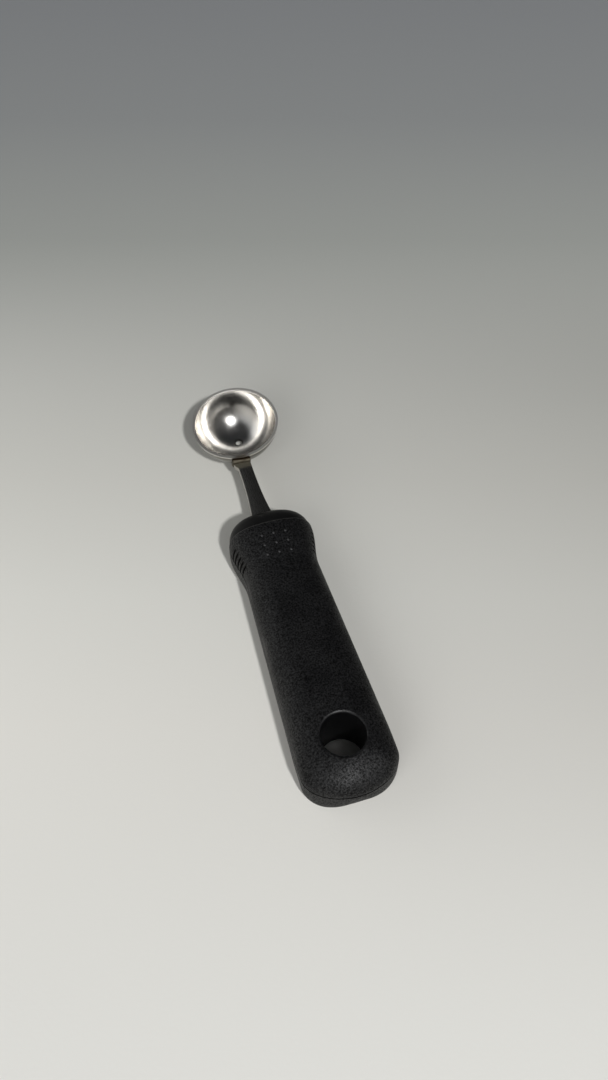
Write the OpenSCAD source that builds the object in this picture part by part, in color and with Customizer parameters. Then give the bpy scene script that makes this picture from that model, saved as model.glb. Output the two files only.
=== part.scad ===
// A melon baller: a pressed steel scoop welded to a flat shank in a soft-grip handle.
// It lies along Y on the plane z = 0, with the scoop toward +Y and its opening upward.
// The origin is under the middle of its length, in the handle's plane of symmetry.
// Places along the tool are measured from the butt, the end of the handle with the hang hole.

/* [Scoop] */
// Inside diameter of the scoop across its rim
scoop_d = 31; // [26:0.5:38]
// Depth inside the scoop, from rim to bottom
scoop_depth = 13.6; // [12:0.2:15.4]
// Thickness of the scoop's pressed wall
scoop_wall = 1; // [0.7:0.1:1.4]
// Height of the bevel ground round the outside of the rim
rim_bevel = 0.5; // [0.2:0.1:0.8]
// Tilt of the opening toward the handle, in degrees
scoop_tilt = 8; // [0:1:12]
// Sideways lean of the opening, in degrees
scoop_lean = 5; // [-6:1:6]
// Sideways offset of the scoop from the middle of the strap
scoop_side = 0.9; // [-1:0.1:1]
// Gap between the scoop's bottom and the surface the tool rests on
scoop_lift = 1.2; // [0.2:0.1:3]
// Diameter of the vent hole in the scoop's bottom
vent_d = 2.6; // [1.2:0.1:4]

/* [Shank] */
// Length of shank that shows between the handle's nose and the near side of the scoop
shank_l = 28.3; // [20:0.5:60]
// Thickness of the flat strap
shank_t = 2; // [1.5:0.1:2.6]
// Width at the neck behind the scoop
neck_w = 5.1; // [3.6:0.1:6]
// Distance from the near side of the scoop back to the neck, where the flare begins
neck_back = 5.8; // [4:0.2:8]
// How far the welded end bulges out on one side
pad_side = 1.2; // [0:0.1:2]
// Length over which the welded end bulges
pad_l = 2.6; // [1.6:0.1:3.4]
// Width where the strap enters the handle
root_w = 8; // [7:0.1:10]
// Length of the tang inside the handle
tang_l = 68; // [30:1:72]
// Diameter of the keying holes pierced through the tang
tang_hole_d = 4; // [2.5:0.1:5]
// Distance between the keying holes
tang_hole_pitch = 20; // [10:1:20]

/* [Weld] */
// Size of the weld fillet above and below the strap
weld_size = 1.5; // [0.8:0.1:1.7]
// How far the weld runs past the strap on each side
weld_over = 0.3; // [0.2:0.1:0.9]

/* [Handle] */
// Length of the handle from butt to nose
handle_l = 107.5; // [100:0.5:125]
// Height of the mould parting plane above the rest plane
parting_h = 9.9; // [9:0.1:11]
// Width across the hang hole
butt_w = 30.2; // [28:0.2:34]
// Width at the waist behind the collar
waist_w = 25.7; // [24.6:0.1:28]
// Width across the collar
collar_w = 30.1; // [28.4:0.1:34]
// Height of the upper half at the hang hole
butt_rise = 8.7; // [8:0.1:10]
// Height of the upper half at the waist
waist_rise = 9; // [8.4:0.1:10]
// Height of the upper half at the collar
collar_rise = 10.9; // [10:0.1:12]
// Place of the waist
waist_at = 81; // [72:0.5:86]
// Distance from the collar's widest place to the nose
collar_back = 10.3; // [8:0.1:12]
// Length of the rounding of the butt, seen from above
butt_round_l = 9.5; // [8:0.1:12]
// Length over which the butt's upper side slopes down
butt_top_l = 14; // [8:0.1:18]
// Length of the rounding of the butt's lower edge
butt_under_l = 6; // [3:0.1:7]
// Length of the rounding of the nose
nose_round_l = 11.1; // [9.8:0.1:13]
// Length of the smooth end of the core in front of the grip
nose_l = 9.5; // [7:0.1:9.6]
// Depth of the step from the grip down to the smooth end
nose_step = 0.3; // [0.1:0.05:0.5]
// Depth cut off the underside to give a flat land to rest on
land_cut = 0.4; // [0.2:0.05:0.8]

/* [Grip] */
// Least thickness of the soft grip over the core
grip_wall = 3; // [2:0.1:3.4]
// Diameter of the hang hole
hang_hole_d = 13.6; // [8:0.1:14]
// Distance from the butt to the hang hole's centre
hang_hole_at = 16.4; // [15:0.1:20]
// Radius of the hang hole's rounded upper lip
lip_r = 0.7; // [0.4:0.1:1.4]
// Number of dots across the collar, and along it
dot_count = 3; // [1:1:4]
// Distance between the dots across the collar
dot_pitch = 4.1; // [2:0.1:4.4]
// Distance between the dots along the handle
dot_row_pitch = 3.7; // [2:0.1:4.4]
// Diameter of the ball that each dot is a cap of
dot_d = 1; // [0.6:0.1:1.4]
// Height of the dots above the collar
dot_rise = 0.3; // [0.1:0.05:0.4]
// Distance from the nose to the middle of the dots
dots_back = 18.4; // [16:0.1:22]
// Number of grooves in each side
groove_count = 5; // [1:1:6]
// Distance between the grooves
groove_pitch = 1.9; // [1.4:0.1:2.4]
// Width of each groove
groove_w = 0.8; // [0.4:0.1:1.2]
// Depth of each groove
groove_depth = 0.7; // [0.2:0.1:0.9]
// Distance from the nose to the middle groove
grooves_back = 18.4; // [16:0.1:22]
// Height of the grooves' middle above the parting plane
groove_up = 3; // [1:0.1:6]

/* [Core] */
// Radius along the core's long edges
core_edge_r = 4; // [2:0.1:5]
// Thickness of soft grip that lines the ring round the hang hole
lining_t = 1.5; // [1:0.1:2]
// Thickness of the core's ring round the hang hole
ring_wall = 2.2; // [1.5:0.1:2.4]

/* [Hidden] */
$fn = 96;

// Steps round the ball that fits the strap and the weld to the scoop
fine_steps = 288;

// Overrun of every cut past the face it leaves through
cut = 1;

// How square the cross section and the rounded ends are, as superellipse powers
section_power = 2.6;
under_section_power = 6;
butt_power = 1.9;
butt_top_power = 2;
butt_under_power = 2.3;
nose_power = 2.5;
nose_edge_power = 2.33;

// How sharply the strap's flare grows toward the handle
flare_power = 2.2;

// Steps round a section, along the grip, along the nose and along the strap's flare
section_steps = 40;
body_steps = 30;
end_steps = 8;
nose_steps = 10;
flare_steps = 12;
pad_steps = 4;

// Scoop: spheres that meet the inside diameter and depth
scoop_in_r = (pow(scoop_d / 2, 2) + pow(scoop_depth, 2)) / (2 * scoop_depth);
scoop_out_r = scoop_in_r + scoop_wall;
rim_drop = scoop_in_r - scoop_depth;
rim_out_r = sqrt(pow(scoop_out_r, 2) - pow(rim_drop, 2));
scoop_at = handle_l + shank_l + scoop_out_r;
scoop_z = scoop_lift + scoop_out_r;
rim_angle = asin(rim_drop / scoop_out_r);
scoop_reach = scoop_out_r * cos(max(rim_angle - scoop_tilt, 0));
overall_l = scoop_at + scoop_reach;

// Shank: the strap lies in the handle's parting plane
near_side_at = handle_l + shank_l;
flare_from = near_side_at - neck_back;
tang_end_at = handle_l - tang_l;
weld_at = scoop_at - sqrt(pow(scoop_out_r, 2) - pow(scoop_z - parting_h - shank_t / 2, 2));
weld_under_at = scoop_at - sqrt(pow(scoop_out_r, 2) - pow(scoop_z - parting_h + shank_t / 2, 2));

// Handle stations
collar_at = handle_l - collar_back;
seam_at = handle_l - nose_l;

// Core: the bar is smaller than the waist by the grip's thickness
core_half_w = waist_w / 2 - grip_wall;
core_half_t = waist_rise - grip_wall;
hang_hole_r = hang_hole_d / 2;
ring_in_r = hang_hole_r + lining_t;
ring_out_r = ring_in_r + ring_wall;
ring_half_t = butt_rise - grip_wall;

// Radius of the round cutter that sinks the grooves into the sides
groove_cutter_r = collar_w;

function mix(a, b, t) = a + (b - a) * t;
function clamp01(t) = max(0, min(1, t));
function ease(t) = pow(clamp01(t), 2) * (3 - 2 * clamp01(t));

// Share of the full size at distance d inside an end that is rounded over length l
function round_end(d, l, power) =
    d >= l ? 1 : d <= 0 ? 0 : pow(1 - pow(1 - d / l, power), 1 / power);

// Share of the way from the hang hole to the waist, and of the swell from waist to collar
function taper_share(s) = max(0, (s - hang_hole_at) / (waist_at - hang_hole_at));
function swell_share(s) = ease((s - waist_at) / (collar_at - waist_at));

function taper_half_w(s) = mix(butt_w, waist_w, taper_share(s)) / 2;
function body_half_w(s) =
    taper_half_w(s) + (collar_w / 2 - taper_half_w(collar_at)) * swell_share(s);
function body_rise(s) =
    mix(butt_rise, waist_rise, min(1, taper_share(s)))
    + (collar_rise - waist_rise) * swell_share(s);

function half_w(s) = body_half_w(s)
    * round_end(s, butt_round_l, butt_power)
    * round_end(handle_l - s, nose_round_l, nose_power);
function rise(s) = body_rise(s)
    * round_end(s, butt_top_l, butt_top_power)
    * round_end(handle_l - s, nose_round_l, nose_edge_power);
function drop(s) = (parting_h + land_cut)
    * round_end(s, butt_under_l, butt_under_power)
    * round_end(handle_l - s, nose_round_l, nose_edge_power);

// Height of the handle's upper surface at x and s
function top_z(x, s) =
    parting_h + rise(s) * pow(1 - pow(abs(x) / half_w(s), section_power), 1 / section_power);

// Half width of the handle's side at a height over the parting plane, and the turn of its face
function side_x(s, up) =
    half_w(s) * pow(1 - pow(up / rise(s), section_power), 1 / section_power);
function side_turn(s, up) = atan2(
    pow(up / rise(s), section_power - 1) / rise(s),
    pow(side_x(s, up) / half_w(s), section_power - 1) / half_w(s)
);

// One section of the handle at s, smaller all round by inset: two half superellipses, of which the
// lower one has steeper sides
function power_of(v, power) = sign(v) * pow(abs(v), power);
function section(s, inset) = [
    for (i = [0 : section_steps - 1])
        let (a = 360 * i / section_steps,
             up = sin(a) >= 0,
             share = 2 / (up ? section_power : under_section_power),
             x = (half_w(s) - inset) * power_of(cos(a), share),
             z = ((up ? rise(s) : drop(s)) - inset) * power_of(sin(a), share))
        [x, s, parting_h + z]
];

// Stations that crowd toward a rounded end at zero distance
function end_share(i, steps) = 1 - cos(90 * i / steps);

// Faces of a skin over rings of points, with point or flat ends
function skin_faces(rings, sides) = [
    for (r = [0 : rings - 2], i = [0 : sides - 1])
        let (j = (i + 1) % sides, a = r * sides, b = a + sides)
        each [[a + i, b + j, b + i], [a + i, a + j, b + j]]
];
function fan_faces(first, sides, apex, flip) = [
    for (i = [0 : sides - 1])
        let (j = (i + 1) % sides)
        flip ? [apex, first + j, first + i] : [apex, first + i, first + j]
];

// A solid between a pointed end and a flat end, skinned over the stations given
module handle_loft(stations, inset, tip_at, tip_first) {
    rings = len(stations);
    last = (rings - 1) * section_steps;
    tip = rings * section_steps;
    middle = tip + 1;
    points = [
        for (s = stations) each section(s, inset),
        [0, tip_at, parting_h],
        [0, stations[tip_first ? rings - 1 : 0], parting_h]
    ];
    faces = concat(
        skin_faces(rings, section_steps),
        fan_faces(0, section_steps, tip_first ? tip : middle, true),
        fan_faces(last, section_steps, tip_first ? middle : tip, false)
    );
    difference() {
        polyhedron(points, faces, convexity = 4);
        under_plane();
    }
}

// Everything below the rest plane
module under_plane() {
    translate([-butt_w, -butt_w, -2 * parting_h])
        cube([2 * butt_w, handle_l + 2 * butt_w, 2 * parting_h]);
}

// The handle's outer form from butt to seam
module grip_form() {
    stations = concat(
        [for (i = [1 : end_steps]) butt_round_l * end_share(i, end_steps)],
        [for (i = [1 : body_steps]) mix(butt_round_l, seam_at, i / body_steps)]
    );
    handle_loft(stations, 0, 0, true);
}

// The smooth end in front of the seam
module nose_form() {
    stations = [
        for (i = [nose_steps : -1 : 1])
            handle_l - nose_l * end_share(i, nose_steps)
    ];
    handle_loft(stations, nose_step, handle_l, false);
}

// Places a child on the hang hole's axis, in the parting plane
module at_hang_hole() {
    translate([0, hang_hole_at, parting_h])
        children();
}

// A cylinder round the height z = 0
module disc(r, half_t) {
    translate([0, 0, -half_t])
        cylinder(r = r, h = 2 * half_t);
}

// Cross section of the core's bar, a rectangle with round corners
module core_section() {
    corner_x = core_half_w - core_edge_r;
    corner_y = core_half_t - core_edge_r;
    square([2 * core_half_w, 2 * corner_y], center = true);
    square([2 * corner_x, 2 * core_half_t], center = true);
    for (x = [-corner_x, corner_x], y = [-corner_y, corner_y])
        translate([x, y])
            circle(core_edge_r);
}

// The part of the core inside the grip: a bar from the seam to a ring round the hang hole
module core_inside() {
    difference() {
        union() {
            translate([0, seam_at, parting_h])
                rotate([90, 0, 0])
                    linear_extrude(seam_at - hang_hole_at)
                        core_section();
            at_hang_hole()
                disc(ring_out_r, ring_half_t);
        }
        at_hang_hole()
            disc(ring_in_r, ring_half_t + cut);
    }
}

// Half width of the strap at s, and the bulge of its welded end
function strap_half_w(s) =
    s < handle_l ? root_w / 2
    : s < flare_from ? mix(neck_w, root_w, pow((flare_from - s) / (flare_from - handle_l), flare_power)) / 2
    : neck_w / 2;
function pad_bulge(s) = pad_side * ease((s - near_side_at + pad_l) / pad_l);

module strap_outline() {
    stations = concat(
        [tang_end_at],
        [for (i = [0 : flare_steps]) mix(handle_l, flare_from, i / flare_steps)],
        [for (i = [0 : pad_steps]) near_side_at - pad_l + pad_l * i / pad_steps],
        [scoop_at]
    );
    points = concat(
        [for (s = stations) [strap_half_w(s), s]],
        [for (i = [len(stations) - 1 : -1 : 0])
            let (s = stations[i])
            [-strap_half_w(s) - pad_bulge(s), s]]
    );
    polygon(points);
}

// The strap as a flat bar that runs on to the middle of the scoop
module strap_bar() {
    translate([0, 0, parting_h - shank_t / 2])
        linear_extrude(shank_t)
            strap_outline();
}

module tang_holes() {
    for (i = [1 : 2])
        translate([0, tang_end_at + i * tang_hole_pitch - tang_hole_pitch / 2, parting_h])
            disc(tang_hole_d / 2, shank_t / 2 + cut);
}

module scoop_ball() {
    translate([scoop_side, scoop_at, scoop_z])
        sphere(scoop_out_r, $fn = fine_steps);
}

// One weld fillet along the corner where the strap meets the scoop
module weld_roll(s, z) {
    translate([-neck_w / 2 - pad_side - weld_over, s, z])
        rotate([0, 90, 0])
            cylinder(r = weld_size, h = neck_w + pad_side + 2 * weld_over);
}

module place() {
    translate([0, -overall_l / 2, 0])
        children();
}

module scoop_bowl() {
    color([0.78, 0.78, 0.76])
        place()
            translate([scoop_side, scoop_at, scoop_z])
                rotate([scoop_tilt, -scoop_lean, 0])
                    difference() {
                        sphere(scoop_out_r);
                        sphere(scoop_in_r);
                        translate([-2 * scoop_out_r, -2 * scoop_out_r, -rim_drop])
                            cube([4 * scoop_out_r, 4 * scoop_out_r, 2 * scoop_out_r]);
                        rim_bevel_cutter();
                        translate([0, 0, -scoop_out_r - cut])
                            cylinder(d = vent_d, h = scoop_wall + 2 * cut);
                    }
}

// Ring that cuts the sloping outer edge of the rim
module rim_bevel_cutter() {
    translate([0, 0, -rim_drop])
        rotate_extrude()
            polygon([
                [rim_out_r - rim_bevel, 0],
                [rim_out_r + cut, -rim_bevel - cut],
                [rim_out_r + cut, 0]
            ]);
}

module weld_bead() {
    color([0.52, 0.42, 0.3])
        place()
            difference() {
                union() {
                    weld_roll(weld_at, parting_h + shank_t / 2);
                    weld_roll(weld_under_at, parting_h - shank_t / 2);
                }
                strap_bar();
                scoop_ball();
            }
}

module shank() {
    color([0.62, 0.62, 0.6])
        place()
            difference() {
                strap_bar();
                scoop_ball();
                tang_holes();
            }
}

module handle_core() {
    color([0.09, 0.09, 0.09])
        place()
            difference() {
                union() {
                    nose_form();
                    core_inside();
                }
                difference() {
                    strap_bar();
                    tang_holes();
                }
            }
}

module grip_sleeve() {
    color([0.13, 0.13, 0.13])
        place() {
            difference() {
                grip_form();
                core_inside();
                at_hang_hole()
                    disc(hang_hole_r, parting_h + cut);
                lip_cutter();
                side_grooves();
            }
            dots();
        }
}

// Rounds the hang hole's upper lip
module lip_cutter() {
    translate([0, hang_hole_at, parting_h + butt_rise - lip_r])
        difference() {
            cylinder(r = hang_hole_r + lip_r, h = lip_r + cut);
            rotate_extrude()
                translate([hang_hole_r + lip_r, 0])
                    circle(lip_r);
        }
}

// Short grooves across both sides of the collar, over the parting plane
module side_grooves() {
    for (i = [0 : groove_count - 1])
        let (s = handle_l - grooves_back + (i - (groove_count - 1) / 2) * groove_pitch)
        for (side = [0, 1])
            mirror([side, 0, 0])
                translate([side_x(s, groove_up), s + groove_w / 2, parting_h + groove_up])
                    rotate([90, 0, 0])
                        rotate(side_turn(s, groove_up))
                            translate([groove_cutter_r - groove_depth, 0, 0])
                                cylinder(r = groove_cutter_r, h = groove_w);
}

// A square of dots on top of the collar
module dots() {
    middle = (dot_count - 1) / 2;
    for (i = [0 : dot_count - 1], j = [0 : dot_count - 1])
        let (x = (i - middle) * dot_pitch, s = handle_l - dots_back + (j - middle) * dot_row_pitch)
        translate([x, s, top_z(x, s) + dot_rise - dot_d / 2])
            sphere(d = dot_d);
}

scoop_bowl();
weld_bead();
shank();
handle_core();
grip_sleeve();
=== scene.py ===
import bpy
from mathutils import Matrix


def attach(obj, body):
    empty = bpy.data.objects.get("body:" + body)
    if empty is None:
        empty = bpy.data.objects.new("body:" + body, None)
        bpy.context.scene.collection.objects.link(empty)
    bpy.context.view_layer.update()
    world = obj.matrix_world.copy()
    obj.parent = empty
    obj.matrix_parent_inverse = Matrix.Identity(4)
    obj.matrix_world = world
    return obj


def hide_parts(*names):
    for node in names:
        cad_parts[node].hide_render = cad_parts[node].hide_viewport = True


bl_info = {
    "name": "Melon Baller",
    "version": (1, 0, 0),
    "blender": (4, 5, 0),
    "location": "View3D > Sidebar > Melon Baller",
    "description": "Models and finishes a melon baller over its packed solids, and sets its stage",
    "category": "Add Mesh",
}

import math

import bmesh
import bpy
from mathutils import Matrix, Vector

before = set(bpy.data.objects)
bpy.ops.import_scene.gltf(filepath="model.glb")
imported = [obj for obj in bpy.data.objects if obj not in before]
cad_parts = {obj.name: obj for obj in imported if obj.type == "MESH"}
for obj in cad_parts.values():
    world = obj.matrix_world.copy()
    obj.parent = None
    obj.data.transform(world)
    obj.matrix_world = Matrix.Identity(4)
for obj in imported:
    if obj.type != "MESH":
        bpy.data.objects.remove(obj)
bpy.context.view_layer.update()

MM = 0.001
NEAR = 1e-6  # Metres within which two places are one
CUP_RINGS = 80  # Rings of faces in the cup's whole sphere; the two at its pole give the vent
CUP_SIDES = 144  # Faces round the cup
WELD_MESH = 0.14 * MM  # Size of the weld's faces, fine enough for its fillets
GRIP_MESH = 0.35 * MM  # Size of the grip's faces, which keeps it under 200,000 triangles
SMOOTH = {"interpolation_type": "SMOOTHSTEP"}  # A change that starts and ends softly


# Settings

def length(name, description, millimetres):
    """A size that the panel shows in the scene's own unit."""
    return bpy.props.FloatProperty(
        name=name, description=description, default=millimetres * MM, unit="LENGTH", precision=5
    )


def angle(name, description, degrees):
    """A turn that the panel shows in degrees."""
    return bpy.props.FloatProperty(
        name=name, description=description, default=math.radians(degrees), unit="ROTATION"
    )


def number(name, description, value):
    """A plain number."""
    return bpy.props.FloatProperty(name=name, description=description, default=value)


def linear(code):
    """The linear colour of an sRGB hex code."""
    shares = [int(code[i:i + 2], 16) / 255 for i in (1, 3, 5)]
    return [c / 12.92 if c <= 0.04045 else ((c + 0.055) / 1.055) ** 2.4 for c in shares] + [1.0]


def colour(name, description, code):
    """A colour, given as an sRGB hex code."""
    return bpy.props.FloatVectorProperty(
        name=name, description=description, default=linear(code), size=4, subtype="COLOR", min=0, max=1
    )


class ScoopSettings(bpy.types.PropertyGroup):
    inner_d: length("Inside diameter", "Inside diameter of the scoop across its rim", 31)
    depth: length("Depth", "Depth inside the scoop", 13.6)
    wall: length("Wall", "Thickness of the pressed wall", 1)
    rim_bevel: length("Rim bevel", "Bevel ground round the outside of the rim", 0.5)
    lip: length("Inner lip", "Rounding of the rim's inner edge", 0.14)
    vent_edge: length("Vent edge", "Rounding of the vent hole's edges", 0.16)
    tilt: angle("Tilt", "Tilt of the opening toward the handle", 8)
    lean: angle("Lean", "Sideways lean of the opening", 5)
    side: length("Offset", "Sideways offset from the strap's middle", 0.9)
    lift: length("Lift", "Gap between the scoop's bottom and the floor", 1.2)
    steel: colour("Steel", "Polished stainless steel", "#D9D6D1")


class ShankSettings(bpy.types.PropertyGroup):
    length: length("Length", "Length between the handle and the scoop", 28.3)
    thickness: length("Thickness", "Thickness of the flat strap", 2)
    neck_w: length("Neck width", "Width behind the scoop", 5.1)
    neck_back: length("Neck place", "Distance from the scoop back to the neck", 5.8)
    root_w: length("Root width", "Width where the strap enters the handle", 8)
    flare_power: number("Flare", "How sharply the strap widens toward the handle", 2.2)
    pad_side: length("End bulge", "How far the welded end bulges on one side", 1.2)
    pad_l: length("Bulge length", "Length over which the welded end bulges", 2.6)
    tang_l: length("Tang length", "Length of strap inside the handle", 12)
    edge_r: length("Edge rounding", "Rounding of the strap's long edges", 0.18)
    weld_r: length("Weld size", "Size of the weld fillet", 1.5)
    weld_over: length("Weld overrun", "How far the weld runs past the strap", 0.3)
    steel: colour("Steel", "Satin stainless strap", "#84827E")
    tint: colour("Heat tint", "Straw colour that the weld's heat leaves", "#5A4C3B")


class HandleSettings(bpy.types.PropertyGroup):
    length: length("Length", "Length of the handle from butt to nose", 107.5)
    parting_h: length("Parting height", "Height of the mould parting plane", 9.9)
    butt_w: length("Butt width", "Width across the hang hole", 30.2)
    waist_w: length("Waist width", "Width behind the collar", 25.7)
    collar_w: length("Collar width", "Width across the collar", 30.1)
    butt_rise: length("Butt height", "Height of the upper half at the hang hole", 8.7)
    waist_rise: length("Waist height", "Height of the upper half at the waist", 9)
    collar_rise: length("Collar height", "Height of the upper half at the collar", 10.9)
    waist_at: length("Waist place", "Distance from the butt to the waist", 81)
    collar_back: length("Collar place", "Distance from the nose back to the collar", 10.3)
    butt_round_l: length("Butt rounding", "Length of the butt's rounding from above", 9.5)
    butt_top_l: length("Butt slope", "Length over which the butt's top slopes down", 14)
    butt_under_l: length("Butt underside", "Length of the rounding of the butt's lower edge", 6)
    nose_round_l: length("Nose rounding", "Length of the nose's rounding", 11.1)
    nose_l: length("Nose length", "Length of the smooth nose in front of the grip", 9.5)
    nose_step: length("Nose step", "Step from the grip down to the nose", 0.3)
    land_cut: length("Land", "Depth cut off the underside", 0.4)
    section_power: number("Section", "How square the upper half's cross section is", 2.6)
    under_power: number("Section under", "How square the lower half's cross section is", 6)
    hole_d: length("Hang hole", "Diameter of the hang hole", 13.6)
    hole_at: length("Hang hole place", "Distance from the butt to the hang hole", 16.4)
    lip_r: length("Hole lip", "Radius of the hang hole's upper lip", 0.7)
    dot_pitch: length("Dot spacing", "Distance between dots across the collar", 4.1)
    dot_row_pitch: length("Dot row spacing", "Distance between dots along the handle", 3.7)
    dot_d: length("Dot diameter", "Diameter of each dot", 1)
    dot_rise: length("Dot height", "Height of each dot", 0.3)
    dots_back: length("Dots place", "Distance from the nose to the dots' middle", 18.4)
    groove_pitch: length("Groove spacing", "Distance between the side grooves", 1.9)
    groove_w: length("Groove width", "Width of each side groove", 0.8)
    groove_depth: length("Groove depth", "Depth of each side groove", 0.7)
    grooves_back: length("Grooves place", "Distance from the nose to the middle groove", 18.4)
    groove_up: length("Groove height", "Height of the grooves over the parting plane", 3)
    rubber: colour("Rubber", "Soft black grip", "#050506")
    plastic: colour("Plastic", "Hard black core", "#0B0B0B")


class StageSettings(bpy.types.PropertyGroup):
    turn: angle("Camera turn", "Turn of the camera round the tool", 16.66)
    elevation: angle("Camera elevation", "Height of the camera over the floor, as an angle", 52)
    distance: length("Camera distance", "Distance from the camera to its target", 330)
    lens: number("Lens", "Focal length on a 36 mm frame's long side", 30)
    target_x: length("Target X", "Place across the tool that the camera looks at", 13.57)
    target_y: length("Target Y", "Place along the tool that the camera looks at", 17.53)
    lamp_turn: angle("Lamp turn", "Turn of the lamp from the camera", 25)
    lamp_elevation: angle("Lamp elevation", "Height of the lamp as an angle", 47)
    lamp_distance: length("Lamp distance", "Distance from the lamp to the tool", 3000)
    lamp_d: length("Lamp diameter", "Diameter of the round lamp", 190)
    lamp_power: number("Lamp power", "Power of the lamp in watts", 66)
    fill_turn: angle("Fill turn", "Turn of the wide soft fill from the camera", -25)
    fill_elevation: angle("Fill elevation", "Height of the fill as an angle", 33)
    fill_distance: length("Fill distance", "Distance from the fill to the tool", 2000)
    fill_d: length("Fill diameter", "Diameter of the round fill", 1400)
    fill_power: number("Fill power", "Power of the fill in watts", 11)
    window_turn: angle("Window turn", "Turn of the wide light on the left from the camera", -80)
    glow_turn: angle("Glow turn", "Turn of the reflector round the lamp from the camera", 18)
    glow_elevation: angle("Glow elevation", "Height of the reflector round the lamp as an angle", 49)
    floor_near: colour("Floor near", "Floor colour in front of the tool", "#DFDED9")
    floor_far: colour("Floor far", "Floor colour behind the tool", "#8B8D8F")


# The forms that the pieces share with the solids

def mix(a, b, t):
    """The value a share t of the way from a to b."""
    return a + (b - a) * t


def ease(t):
    """A share from 0 to 1 that starts and ends softly."""
    t = min(max(t, 0), 1)
    return t * t * (3 - 2 * t)


def round_end(d, l, power):
    """Share of the full size at distance d inside an end rounded over length l."""
    if d >= l:
        return 1
    return 0 if d <= 0 else (1 - (1 - d / l) ** power) ** (1 / power)


def scoop_radii(p):
    """Inner and outer radius of the sphere that the scoop is a part of."""
    inner_r = ((p.scoop.inner_d / 2) ** 2 + p.scoop.depth ** 2) / (2 * p.scoop.depth)
    return inner_r, inner_r + p.scoop.wall


def overall(p):
    """Whole length of the tool."""
    inner_r, outer_r = scoop_radii(p)
    rim_turn = math.asin((inner_r - p.scoop.depth) / outer_r)
    reach = outer_r * math.cos(max(rim_turn - p.scoop.tilt, 0))
    return p.handle.length + p.shank.length + outer_r + reach


def scoop_centre(p):
    """Centre of the scoop's sphere."""
    outer_r = scoop_radii(p)[1]
    at = p.handle.length + p.shank.length + outer_r
    return Vector((p.scoop.side, at - overall(p) / 2, p.scoop.lift + outer_r))


def wall_y(p, z):
    """Place along the tool of the scoop's outer wall, on the handle's side, at height z."""
    centre = scoop_centre(p)
    return centre.y - math.sqrt(scoop_radii(p)[1] ** 2 - (centre.z - z) ** 2)


def vent_radius(p):
    """Radius of the vent that two rings of the cup's faces leave."""
    return scoop_radii(p)[1] * math.sin(2 * math.pi / CUP_RINGS)


def handle_size(h, s):
    """Half width, height over and depth under the parting plane, at s from the butt."""
    taper = max(0, (s - h.hole_at) / (h.waist_at - h.hole_at))
    collar_at = h.length - h.collar_back
    swell = ease((s - h.waist_at) / (collar_at - h.waist_at))
    collar_taper = (collar_at - h.hole_at) / (h.waist_at - h.hole_at)
    half = mix(h.butt_w, h.waist_w, taper) / 2
    half += (h.collar_w / 2 - mix(h.butt_w, h.waist_w, collar_taper) / 2) * swell
    rise = mix(h.butt_rise, h.waist_rise, min(1, taper)) + (h.collar_rise - h.waist_rise) * swell
    nose = h.length - s
    half *= round_end(s, h.butt_round_l, 1.9) * round_end(nose, h.nose_round_l, 2.5)
    rise *= round_end(s, h.butt_top_l, 2) * round_end(nose, h.nose_round_l, 2.33)
    drop = h.parting_h + h.land_cut
    drop *= round_end(s, h.butt_under_l, 2.3) * round_end(nose, h.nose_round_l, 2.33)
    return half, rise, drop


def side_x(h, s, up):
    """Half width of the handle's side at a height over the parting plane."""
    half, rise = handle_size(h, s)[:2]
    return half * (1 - (up / rise) ** h.section_power) ** (1 / h.section_power)


def top_z(h, s, x):
    """Height of the handle's top over the floor."""
    half, rise = handle_size(h, s)[:2]
    return h.parting_h + rise * (1 - (abs(x) / half) ** h.section_power) ** (1 / h.section_power)


def strap_half_w(p, s):
    """Half width of the strap at s."""
    flare_from = p.handle.length + p.shank.length - p.shank.neck_back
    if s >= flare_from:
        return p.shank.neck_w / 2
    share = min(1, (flare_from - s) / (flare_from - p.handle.length))
    return mix(p.shank.neck_w, p.shank.root_w, share ** p.shank.flare_power) / 2


# Modelling as by hand

def deselect():
    """Leaves edit mode, with nothing selected."""
    if bpy.context.object and bpy.context.object.mode != "OBJECT":
        bpy.ops.object.mode_set(mode="OBJECT")
    bpy.ops.object.select_all(action="DESELECT")


def named(name):
    """The piece just added, under its own name and in edit mode."""
    piece = bpy.context.object
    piece.name = name
    piece.data.name = name
    bpy.ops.object.mode_set(mode="EDIT")
    return piece


def pick(piece, kind, test):
    """Selects the VERT, EDGE or FACE elements that pass a test, and nothing else."""
    bpy.ops.mesh.select_mode(type=kind)
    bpy.ops.mesh.select_all(action="DESELECT")
    shape = bmesh.from_edit_mesh(piece.data)
    for part in {"VERT": shape.verts, "EDGE": shape.edges, "FACE": shape.faces}[kind]:
        if test(part):
            part.select_set(True)
    shape.select_flush_mode()
    bmesh.update_edit_mesh(piece.data)


def radius_of(point):
    """Distance of a vertex from the upright axis."""
    return math.hypot(point.co.x, point.co.y)


def extrude(step):
    """Extrudes what is selected by a step."""
    bpy.ops.mesh.extrude_region_move(TRANSFORM_OT_translate={"value": step})


def face_outwards():
    """Turns all faces of the piece in edit mode outwards, and leaves them selected."""
    bpy.ops.mesh.select_all(action="SELECT")
    bpy.ops.mesh.normals_make_consistent(inside=False)


def use_modifier(piece, kind, **settings):
    """Adds a modifier with its settings and applies it."""
    if piece.mode != "OBJECT":
        bpy.ops.object.mode_set(mode="OBJECT")
    bpy.context.view_layer.objects.active = piece
    modifier = piece.modifiers.new(kind.title(), kind)
    for key, value in settings.items():
        setattr(modifier, key, value)
    bpy.ops.object.modifier_apply(modifier=modifier.name)


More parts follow.
